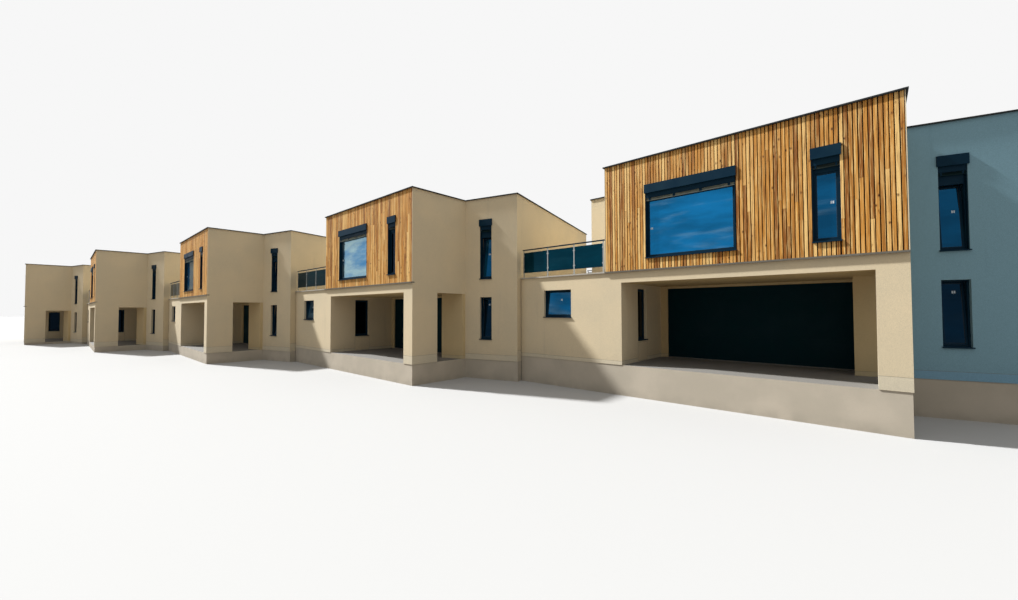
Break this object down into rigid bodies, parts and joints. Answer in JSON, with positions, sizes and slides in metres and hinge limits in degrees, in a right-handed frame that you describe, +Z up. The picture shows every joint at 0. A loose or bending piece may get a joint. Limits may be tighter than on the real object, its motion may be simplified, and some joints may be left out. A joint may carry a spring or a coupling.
{
  "type": "scale model of a terraced house row",
  "caption": "Stepped row of flat-roofed houses with timber-clad upper fronts, covered porches with garage doors, glazed roof terraces and rendered bays, as a half-size model.",
  "frame": {"origin": "centre of the row's bounding box in plan, at the level its base rests on", "axes": "+X along the row to its upper end, +Y away from the street, +Z up"},
  "size_m": [31.762, 5.6726, 3.515],
  "materials": {
    "render": "rough",
    "base": "rough",
    "timber": "satin",
    "roofing": "rough",
    "stone": "matte",
    "dark_metal": "satin",
    "door_metal": "satin",
    "pale_metal": "satin",
    "rail_glass": "gloss",
    "window_glass": "gloss",
    "blind": "satin",
    "seal": "matte"
  },
  "bodies": {
    "root": {"bases": "base", "front_walls": "render", "porch_side_walls": "render", "garage_jambs": "render", "garage_lintels": "render", "hall_side_walls": "render", "hall_front_walls": "render", "porch_piers": "render", "bay_walls": "render", "party_walls": "render", "rear_walls": "render", "first_floors": "render", "upper_front_walls": "render", "upper_side_walls": "render", "terrace_walls": "render", "upper_bay_walls": "render", "gable_walls": "render", "upper_rear_walls": "render", "roofs": "roofing", "timber_cladding": "timber", "roof_edges": "dark_metal", "terrace_stones": "stone", "rail_posts": "pale_metal", "rail_glass": "rail_glass", "handrails": "dark_metal", "garage_doors": "door_metal", "entrance_doors": "door_metal", "terrace_doors": "dark_metal", "garden_doors": "dark_metal", "door_panes": "window_glass", "window_frames": "dark_metal", "window_sashes": "dark_metal", "window_panes": "window_glass", "blind_boxes": "dark_metal", "raised_blinds": "blind", "drip_edges": "dark_metal", "window_sills": "dark_metal", "movement_joints": "seal", "end_parapet": "render"}
  },
  "joints": []
}
